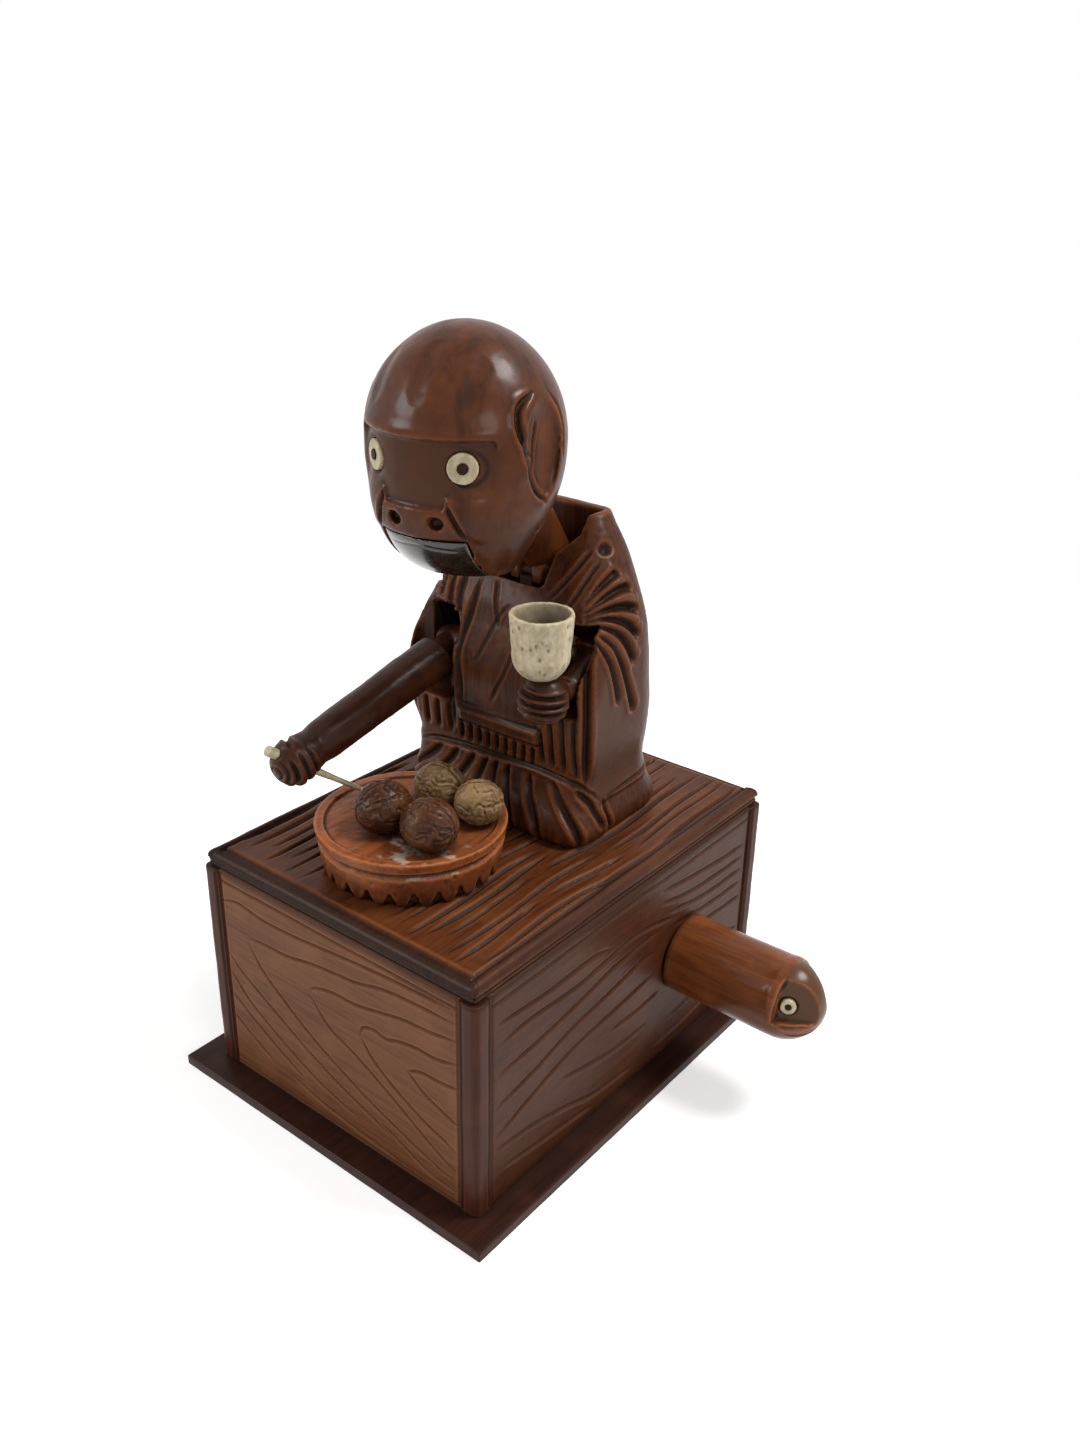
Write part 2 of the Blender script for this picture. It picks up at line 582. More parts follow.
def carvedPanel(side, lines, step, paint, flip=1):
    (ox, oy), (ux, uy), (nx, ny) = sidePlanes[side]
    width = 2 * ((boxX if side in ("front", "back") else boxY) - postSize)
    height = wallTop - baseThick
    middle = (wallTop + baseThick) / 2
    piece = sheet("carved_" + side + "_panel", (ox, oy, middle), (ux, uy, 0), (0, 0, 1), width, height, step)
    work = Carving(piece, (nx, ny, 0))

    def on(points):
        return [(ox + ux * a * flip, oy + uy * a * flip, z) for a, z in points]

    for i, line in enumerate(lines.values()):
        points = np.array(on(line), float)
        points[:, 2] += 0.15 * np.sin(np.arange(len(points)) * 2.1 + i)
        wide = 0.42 if side in ("front", "back") else 0.52
        work.groove(points, wide, wide * 0.75, ends=0.12, soot=0.95, lip=0.04)
    edge = width / 2 - 0.35
    for z in (wallTop - 1.75, baseThick + 0.5):
        work.groove(on([(-edge, z), (0, z), (edge, z)]), 0.42, 0.28, ends=0.001, soot=0.9)
    for a in (-edge, edge):
        work.groove(on([(a, baseThick), (a, middle), (a, wallTop)]), 0.45, 0.3, ends=0.001, soot=0.8)
    work.roughen(0.5, 0.012)
    work.roughen(4.0, 0.03)
    work.soot = np.maximum(work.soot, 0.75 * soften(work.co[:, 2], wallTop - 1.5, wallTop - 0.2))
    work.done(spread=1)
    rimOut(piece, [((1, 1, 1), (0, 0, 0), (-nx * wallThick, -ny * wallThick, 0))])
    return place(piece, "box", [side + "_panel"], paint)


def borehole(piece, radius, start, end):  # a round hole along X
    bpy.ops.mesh.primitive_cylinder_add(vertices=48, radius=radius * mm, depth=(end[0] - start[0]) * mm,
            location=[(a + b) / 2 * mm for a, b in zip(start, end)], rotation=(0, math.pi / 2, 0))
    cutter = bpy.context.active_object
    apply(piece, "BOOLEAN", operation="DIFFERENCE", object=cutter, solver="EXACT")
    bpy.data.objects.remove(cutter)


carvedPanel("front", frontLines, 0.27, paints["front"])
carvedPanel("back", frontLines, 0.36, paints["front"], flip=-1)
rightPanel = carvedPanel("right", rightLines, 0.3, paints["side"])
borehole(rightPanel, 3.1, (24, 16, 21.3), (32, 16, 21.3))
carvedPanel("left", rightLines, 0.38, paints["side"], flip=-1)
print("stage: panels")


def cornerPost(name, sx, sy):
    piece = clay("carved_" + name, [name], 0.26, 2)
    work = Carving(piece)
    inset = postSize - 0.42
    sides = ((sx * boxX, sy * (boxY - inset), (sx, 0, 0)), (sx * (boxX - inset), sy * boxY, (0, sy, 0)))
    for x, y, face in sides:
        work.groove([(x, y, baseThick), (x, y, 20), (x, y, wallTop)], 0.42, 0.38, ends=0.001, soot=0.9,
                facing=face)
    work.roughen(3.0, 0.04)
    work.soot = np.maximum(work.soot, 0.7 * soften(work.co[:, 2], wallTop - 1.2, wallTop))
    place(work.done(), "box", [name], paints["post"])


for postName, signX, signY in (("post_front_right", -1, -1), ("post_front_left", 1, -1),
                               ("post_back_right", -1, 1), ("post_back_left", 1, 1)):
    cornerPost(postName, signX, signY)


# Lid: a carved field of long grooves inside a border, with a rounded edge

lidLook = {"bead": 1.5, "inset": 0.7, "border": 2.0, "fieldGrooves": 21, "seed": 11, "rodHole": 2.6}
lidEdge = ((0, 0.12), (0.15, 0.18), (0.6, 0.12), (0, 0.18), (-0.45, 0.1), (-0.08, 0.15), (0, 0.45),
           (0.15, 0.2), (0.2, 0.1))  # below the bead: steps inwards and down


def lidGrooves():
    rng = np.random.default_rng(lidLook["seed"])
    lines = []
    field = boxX - lidLook["inset"] - lidLook["border"] - 0.6
    fieldY = boxY - lidLook["inset"] - lidLook["border"] - 0.3
    for x0 in np.linspace(-field + 0.4, field - 0.6, lidLook["fieldGrooves"]):
        sway = rng.uniform(0.5, 1.1)
        phase = rng.uniform(-0.5, 0.5)
        y = -fieldY + rng.uniform(0, 5)
        while y < fieldY - 4:
            end = min(y + rng.uniform(16, 46), fieldY)
            ys = np.linspace(y, end, max(4, int((end - y) / 5)))
            xs = x0 + sway * np.sin(ys / 13.0 + phase) + 0.5 * np.sin(ys / 5.3 + 2 * phase)
            xs = xs + rng.uniform(-0.5, 0.5)
            xs = np.clip(xs, -field, field)
            lines.append(([(a, b, lidTop) for a, b in zip(xs, ys)], rng.uniform(0.42, 0.85)))
            y = end + rng.uniform(1.5, 4)
    return lines


def makeLid():
    halfX = boxX - lidLook["inset"]
    halfY = boxY - lidLook["inset"]
    r = lidLook["bead"]
    piece = sheet("carved_lid", (0, 0, lidTop), (1, 0, 0), (0, 1, 0), 2 * (halfX - r), 2 * (halfY - r),
            (0.28, 0.42))
    work = Carving(piece, (0, 0, 1))
    for line, width in lidGrooves():
        work.groove(line, width, 0.3 + 0.55 * width, ends=0.22, soot=1.0, lip=0.05)
    bx, by = halfX - lidLook["border"], halfY - lidLook["border"] + 0.3
    corners = [(-bx, -by), (bx, -by), (bx, by), (-bx, by)]
    for (ax, ay), (cx, cy) in zip(corners, corners[1:] + corners[:1]):
        work.groove([(ax, ay, lidTop), ((ax + cx) / 2, (ay + cy) / 2, lidTop), (cx, cy, lidTop)], 0.62, 0.62,
                ends=0.001, soot=1.0, lip=0.06)
    work.push(-0.12 * soften(np.minimum(bx - abs(work.co[:, 0]), by - abs(work.co[:, 1])), 0, 0.3))
    work.roughen(0.6, 0.02)
    work.roughen(5.0, 0.04)
    work.done(spread=2)
    moves = []
    steps = 6
    sx, sy, down = halfX - r, halfY - r, 0.0
    for k in range(1, steps + 1):
        a = math.pi / 2 * k / steps
        nx, ny, nd = halfX - r + r * math.sin(a), halfY - r + r * math.sin(a), r * (1 - math.cos(a))
        moves.append(((nx / sx, ny / sy, 1), (0, 0, lidTop), (0, 0, down - nd)))
        sx, sy, down = nx, ny, nd
    for inward, drop in lidEdge:
        moves.append((((sx - inward) / sx, (sy - inward) / sy, 1), (0, 0, lidTop), (0, 0, -drop)))
        sx, sy = sx - inward, sy - inward
    rimOut(piece, moves)
    co = getCo(piece)
    soot = np.zeros(len(co))
    piece.data.attributes["soot"].data.foreach_get("value", soot)
    out = np.maximum(abs(co[:, 0]) - halfX, abs(co[:, 1]) - halfY)
    dip = soften(lidTop - co[:, 2], 1.55, 1.85) * (1 - soften(lidTop - co[:, 2], 2.15, 2.35)) * (out > -1.2)
    piece.data.attributes["soot"].data.foreach_set("value", np.maximum(soot, dip))
    for node in ("right_arm_rod", "left_arm_rod", "head_rod"):
        low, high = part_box(node)
        middle = [(a + b) / 2 for a, b in zip(low, high)]
        if node == "right_arm_rod":
            middle[1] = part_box("right_arm_foot")[0][1] + 2.7 * mm
        hole = lidLook["rodHole"] * mm
        bpy.ops.mesh.primitive_cube_add(size=1, location=(middle[0], middle[1], (lidTop - 1) * mm),
                                        scale=(hole, hole, 9 * mm))
        cutter = bpy.context.active_object
        apply(piece, "BOOLEAN", operation="DIFFERENCE", object=cutter, solver="EXACT")
        bpy.data.objects.remove(cutter)
    place(piece, "box", ["lid_board"], paints["lid"])


makeLid()
print("stage: lid")


def makeBase():
    low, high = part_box("base_plate")
    bpy.ops.mesh.primitive_cube_add(size=1, location=(0, 0, 0))
    piece = bpy.context.active_object
    piece.name = piece.data.name = "base_board"
    co = getCo(piece) * mm
    setCo(piece, (np.array(low) + (co + 0.5) * (np.array(high) - np.array(low))) / mm)
    choose(piece)
    bpy.ops.object.mode_set(mode="EDIT")
    bpy.ops.mesh.select_all(action="SELECT")
    bpy.ops.mesh.bevel(offset=0.35 * mm, segments=3, profile=0.6)
    bpy.ops.mesh.subdivide(number_cuts=8)
    bpy.ops.mesh.subdivide(number_cuts=3)
    bpy.ops.object.mode_set(mode="OBJECT")
    work = Carving(piece)
    inner = -0.03 + 0.03 * cloud(work.co / 2.5)
    work.push(inner)
    reach = np.maximum(abs(work.co[:, 0]) - boxX, abs(work.co[:, 1]) - boxY)
    work.soot = 0.8 * (1 - soften(reach, 0.0, 0.9)) * (work.co[:, 2] > 1.5)
    place(work.done(sharp=0.0), "box", ["base_plate"], paints["base"])


makeBase()


# Tray and nuts

trayX, trayY, trayTop = -1.3, -19.45, 52.4
trayLook = {"voxel": 0.27, "seed": 5, "knifeMarks": 26, "scratches": 14, "glue": 0.95, "glueRise": 0.1,
            "floor": 52.0, "skirtRadius": 14.9}


def circle(x, y, z, radius, first=0, last=360, count=40):
    turns = np.radians(np.linspace(first, last, count))
    return [(x + radius * math.cos(a), y + radius * math.sin(a), z) for a in turns]


def makeTray():
    piece = clay("carved_tray", ["tray"], trayLook["voxel"], 2)
    work = Carving(piece)
    work.groove(circle(trayX, trayY, trayTop - 2.3, 15.15), 0.5, 0.35, ends=0.001, soot=1.0)
    work.groove(circle(trayX, trayY, trayTop - 0.4, 13.8), 0.35, 0.15, ends=0.001, soot=0.9, facing=(0, 0, 1))
    rng = np.random.default_rng(trayLook["seed"])
    for _ in range(trayLook["knifeMarks"]):  # on the skirt
        a = rng.uniform(0, 2 * math.pi)
        x, y = trayX + trayLook["skirtRadius"] * math.cos(a), trayY + trayLook["skirtRadius"] * math.sin(a)
        z = rng.uniform(45.5, 49.5)
        end = (x + rng.uniform(-0.6, 0.6), y + rng.uniform(-0.6, 0.6), z - rng.uniform(0.8, 2))
        work.groove([(x, y, z), end], 0.4, 0.14, soot=0.3)
    for _ in range(trayLook["scratches"]):  # on the top
        a, r = rng.uniform(0, 2 * math.pi), rng.uniform(8, 12.5)
        x, y = trayX + r * math.cos(a), trayY + r * math.sin(a)
        end = (x + rng.uniform(-1, 1), y + rng.uniform(-1, 1), trayLook["floor"])
        work.groove([(x, y, trayLook["floor"]), end], 0.3, 0.08, soot=0.4)
    work.roughen(0.7, 0.035)
    work.roughen(3.0, 0.06)
    flat = work.n[:, 2] > 0.4
    glue = cloud(work.co * (0.5, 0.9, 0.5) + 3.1) + 0.45 * cloud(work.co * 2.1)
    near = np.exp(-(((work.co[:, 0] - 7.5) / 6.0) ** 2 + ((work.co[:, 1] + 25.8) / 5.0) ** 2))
    work.tone = soften(glue * near + 0.12 * near, 0.1, 0.3) * flat * trayLook["glue"]
    work.push(trayLook["glueRise"] * work.tone)
    z = work.co[:, 2]
    skirt = (1 - soften(z, 46.0, 49.5)) * 0.45 + 0.5 * (1 - soften(z, 44.4, 46.0))
    work.soot = np.maximum(work.soot, skirt)
    for x, y, r in ((-2.0, -24.8, 4.4), (7.15, -24.1, 4.5), (-0.8, -13.2, 4.1), (7.6, -13.2, 3.9)):
        d = np.hypot(work.co[:, 0] - x, work.co[:, 1] - y)
        work.soot = np.maximum(work.soot, 0.75 * (1 - soften(d, r - 1.2, r + 0.7)) * flat)
    place(work.done(), "box", ["tray"], paints["tray"])


nutLook = {"voxel": 0.17, "wrinkle": 0.3, "grit": 0.06, "seamWidth": 0.22, "seamDepth": 0.22}


def makeNut(node, turn, paint, seed):
    piece = clay("ribbed_" + node, [node], nutLook["voxel"], 2)
    work = Carving(piece)
    low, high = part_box(node)
    centre = (np.array(low) + np.array(high)) / 2 / mm
    q = work.co - centre
    a = math.radians(turn)
    along = q @ np.array([math.cos(a), math.sin(a), 0.0])
    side = q @ np.array([-math.sin(a), math.cos(a), 0.0])
    up = q[:, 2]
    around = np.arctan2(up, side)
    bend = cloud(work.co * 0.45 + seed)
    ring = np.stack([np.cos(around) * 2.3 + seed, np.sin(around) * 2.3, along * 0.38], axis=1) + bend[:,
            None] * 0.55
    creases = abs(cloud(ring)) * 0.9 + 0.5 * abs(cloud(ring * 2.3 + 7)) + 0.35 * abs(cloud(work.co * 0.9
            + 2 * seed))
    ribs = soften(creases, 0.0, 0.55)
    work.push(nutLook["wrinkle"] * (ribs - 1))
    work.push(nutLook["grit"] * cloud(work.co * 2.0 + seed))
    work.soot = (1 - soften(creases, 0.05, 0.22)) * 0.8
    work.tone = soften(cloud(work.co * 0.4 + seed * 3), 0.0, 0.7)
    seam = np.exp(-(side / nutLook["seamWidth"]) ** 2) * (up > -1)
    work.push(-nutLook["seamDepth"] * seam)
    work.soot = np.maximum(work.soot, 0.7 * seam)
    place(work.done(), "box", [node], paint)


makeTray()
makeNut("nut_dark_left", 70, paints["darkNut"], 1.3)
makeNut("nut_dark_front", 10, paints["darkNut"], 4.7)
makeNut("nut_pale_back", 5, paints["paleNut"], 8.2)
makeNut("nut_pale_right", 40, paints["paleNut"], 2.9)
print("stage: tray")


# Knob: a turned grip that ends in an animal's head

knobLook = {"brow": 51.05, "eyeX": 52.65, "eyeSide": 4.15, "eyeUp": 1.45, "taper": 28, "lean": 10}


def makeKnob():
    piece = clay("carved_knob", ["knob"], 0.22, 3)
    work = Carving(piece)
    axis = np.array([0, 16.0, 21.3])
    x = work.co[:, 0]
    side = work.co[:, 1] - axis[1]
    up = work.co[:, 2] - axis[2]
    ahead = soften(x, knobLook["brow"] - 0.3, knobLook["brow"] + 0.5)
    cheeks = ahead * soften(up, -1.6, -0.6)
    work.tone = cheeks * 0.95
    work.push(0.18 * np.exp(-((x - knobLook["brow"] + 1.1) / 0.9) ** 2) * soften(up, 1.0, 3.0))
    work.push(0.2 * np.exp(-(side / 1.5) ** 2) * ahead * soften(up, -2.5, 0.0) * soften(56.6 - x, 0.0,
            1.5) - 0.04)
    for w in (-1, 1):
        work.groove([(knobLook["brow"] + 0.15, 16 + w * 6.3, 21.4), (knobLook["brow"] + 0.1, 16 + w * 5.2,
                24.4), (knobLook["brow"] + 0.2, 16 + w * 2.6, 27.1)], 0.4, 0.22, ends=0.1, soot=1.0)
        work.groove([(52.0, 16 + w * 6.4, 20.3), (54.0, 16 + w * 5.4, 20.1), (56.3, 16 + w * 3.2, 20.0)],
                0.45, 0.28, ends=0.15, soot=0.9, lip=0.1)
        a, b = math.radians(knobLook["taper"]), math.radians(knobLook["lean"])
        out = np.array([math.sin(a), w * math.cos(a) * math.cos(b), math.cos(a) * math.sin(b)])
        eye = np.array([knobLook["eyeX"], 16 + w * knobLook["eyeSide"], 21.3 + knobLook["eyeUp"]]) - out * 0.5
        one = unit(np.cross(out, (0, 0, 1)))
        two = np.cross(out, one)
        ring = [eye + 1.5 * (one * math.cos(t) + two * math.sin(t)) for t in np.linspace(0, 2 * math.pi, 20)]
        work.groove(ring, 0.42, 0.16, ends=0.001, soot=1.0)
    mouth = [(53.2, 16 - 6.2, 18.2), (55.0, 16 - 4.6, 18.0), (56.6, 16 - 2.3, 17.9), (57.0, 16, 17.9),
            (56.6, 16 + 2.3, 17.9), (55.0, 16 + 4.6, 18.0), (53.2, 16 + 6.2, 18.2)]
    work.groove(mouth, 0.42, 0.35, ends=0.12, soot=1.0, lip=0.08)
    work.roughen(4.0, 0.06)
    work.soot = np.maximum(work.soot, 0.85 * (1 - soften(x, 29.9, 31.2)))
    place(work.done(), "crank", ["knob"], paints["knob"])


def makeEyes(name, node, body, voxel):
    piece = clay(name, [node], voxel, 3)
    work = Carving(piece)
    work.roughen(0.5, 0.015)
    place(work.done(spread=1), body, [node], paints["bone"])


makeKnob()
makeEyes("bone_knob_eyes", "knob_eyes", "crank", 0.12)
makeEyes("bone_left_eye", "left_eye", "head", 0.13)
makeEyes("bone_right_eye", "right_eye", "head", 0.13)
print("stage: knob")


# Head

headAt, headYaw = np.array([-1.9, -5.0, 110.6]), math.radians(8)


def headOut(points):  # from the head's own axes to the frame
    c, s = math.cos(headYaw), math.sin(headYaw)
    p = np.atleast_2d(np.array(points, float))
    return np.stack([p[:, 0] * c - p[:, 1] * s, p[:, 0] * s + p[:, 1] * c, p[:, 2]], axis=1) + headAt


def headIn(co):
    c, s = math.cos(headYaw), math.sin(headYaw)
    q = co - headAt
    return np.stack([q[:, 0] * c + q[:, 1] * s, -q[:, 0] * s + q[:, 1] * c, q[:, 2]], axis=1)


headLook = {"voxel": 0.29, "bandTone": 0.6, "browRise": 0.16, "cheekRise": 0.32, "streaks": 0.38,
        "ledgeRounding": 90}


def makeHead():
    piece = clay("carved_head", ["head"], headLook["voxel"], 2)
    work = Carving(piece)
    q = headIn(work.co)
    n = headIn(work.n + headAt)
    x, y, z = q.T
    front = soften(-n[:, 1], 0.1, 0.3) * (y < -3) * (z > -15)
    side = abs(x - 0.3)
    ledge = soften(side, 5.6, 6.6) * soften(14.5 - side, 0, 1.5) * soften(z, -8.6,
            -7.4) * (1 - soften(z, -4.4, -3.2)) * (y < -2)
    end = soften(side, 10.2, 11.2) * (1 - soften(side, 12.4, 13.2)) * soften(z, -7,
            -5) * (1 - soften(z, 0.6, 2.0)) * (y < -2)
    work.relax(headLook["ledgeRounding"], np.maximum(ledge, end))
    work.relax(4, front)
    band = soften(2.7 - z, 0.0, 0.5) * soften(z + 7.2, 0.0, 0.6) * soften(12.0 - side, -0.4, 1.8)
    band = band * np.where(side > 6.0, soften(z - (-6.0 + 0.4 * (side - 6.0)), -0.5, 1.6), 1) * front
    work.tone = headLook["bandTone"] * band
    brow = np.exp(-((z - 3.5) / 0.8) ** 2) * soften(12.5 - side, 0, 3) * front
    work.push(headLook["browRise"] * brow)
    cheeks = soften(side, 5.2 + (-5.5 - z).clip(0) * 0.36,
            5.9 + (-5.5 - z).clip(0) * 0.42) * soften(11.5 - side, 0, 3) * soften(-4 - z, 0, 4) * soften(z,
            -13, -11)
    work.push(headLook["cheekRise"] * cheeks * front)
    for w in (-1, 1):
        work.groove(headOut([(w * 5.1 + 0.2, -14.2, -5.6), (w * 5.9, -13.6, -7.4), (w * 6.8, -12.5, -10.1),
                             (w * 7.6, -11.4, -12.1)]), 0.5, 0.75, ends=0.25, soot=1.0, lip=0.14)
        work.groove(headOut([(w * 12.8, -2.4, 8.4), (w * 12.7, -5.4, 6.9), (w * 12.9, -6.4, 5.1),
                (w * 13.4, -6.4, 3.1), (w * 14.0, -5.5, 0.9), (w * 14.6, -4.1, -1.8), (w * 14.7, -2.7, -5.0),
                (w * 14.3, -0.4, -7.8)]), 0.8, 0.95, ends=0.14, soot=1.0, lip=0.16)
        work.groove(headOut([(w * 13.2, 0.6, 8.4), (w * 14.4, 2.6, 6.4), (w * 14.8, 3.4, 3.2),
                (w * 14.7, 3.2, -2.0)]), 0.5, 0.3, ends=0.2, soot=0.45)
        work.swell(headOut((w * 15.4, -2.1, 4.1))[0], (1.6, 1.15, 1.6), -1.2, soot=1.0)
        work.groove(headOut([(w * 15.3, -2.1, 4.4), (w * 15.3, -2.4, 1.9), (w * 15.2, -2.7, -1.0),
                (w * 14.9, -3.1, -3.2)]), 0.6, 0.95, ends=0.15, soot=1.0, lip=0.1)
        work.groove(headOut([(w * 14.0, -5.6, 1.3), (w * 14.5, -4.5, 0.4), (w * 15.0, -3.2, -0.3)]), 0.4, 0.4,
                ends=0.1, soot=0.9)
        ring = [(w * 12.5, 0.6 + 1.25 * math.cos(t), -11.4 + 1.25 * math.sin(t)) for t in np.linspace(0,
                2 * math.pi, 16)]
        work.groove(headOut(ring), 0.4, 0.35, ends=0.001, soot=0.9, facing=(w, 0, 0))
    for nx, nz in ((-3.3, -9.6), (3.9, -9.5)):
        work.swell(headOut((nx, -14.3, nz))[0], (1.5, 2.5, 1.15), -0.9, soot=1.0, facing=(0, -1, 0))
    for dx in (-8.6, 0.6, 4.4, 8.4):  # soft hollows down the forehead
        work.groove(headOut([(dx * 0.9, -6.6, 14.2), (dx, -11.2, 9.8), (dx * 1.05, -13.2, 6.4)]), 2.6, 0.24,
                soot=0.1, facing=(0, -1, 0.2))
    for ex in (-8.0, 8.0):  # a dark ring round each eye
        y0 = -15.3 * math.sqrt(1 - (ex / 15.1) ** 2)
        d = np.linalg.norm((q - (ex, y0 + 0.5, -1.3)) * (1, 0.4, 1), axis=1)
        work.soot = np.maximum(work.soot, 1.0 * np.exp(-((d - 2.5) / 0.32) ** 2) * front)
    work.roughen(6.0, 0.1)
    work.roughen(1.1, 0.02)
    streaks = soften(cloud(np.stack([x * 0.55, y * 0.2, z * 0.07], axis=1) + 4.2), 0.15, 0.75) * soften(z,
            3.5, 7.0) * (y < 2)
    lower = soften(-8.5 - z, 0, 2.5) * soften(y, -4, 1)
    work.soot = np.maximum(work.soot, np.maximum(0.3 * lower, headLook["streaks"] * streaks))
    place(work.done(), "head", ["head"], paints["head"])


def makeJaw():
    piece = clay("lacquered_jaw", ["jaw"], 0.2, 4)
    work = Carving(piece)
    work.groove(headOut([(-5.6, -10.6, -13.6), (0, -12.6, -13.4), (5.6, -10.6, -13.6)]), 0.3, 0.12, ends=0.1,
            soot=0.0)
    work.roughen(1.5, 0.02)
    place(work.done(), "jaw", ["jaw"], paints["lacquer"])


makeHead()
makeJaw()
print("stage: head")


# Robe

robeLook = {"voxel": 0.36, "beltRise": 0.35, "chestDip": 0.45, "hemDip": 0.35, "gathers": 9, "backPleats": 7,
            "rimRounding": 40, "outerTone": 0.8, "roomSoot": 0.95}
mirrorX = -1.0  # the figure's middle plane


def flipped(points):
    return [(2 * mirrorX - x, y, z) for x, y, z in points]


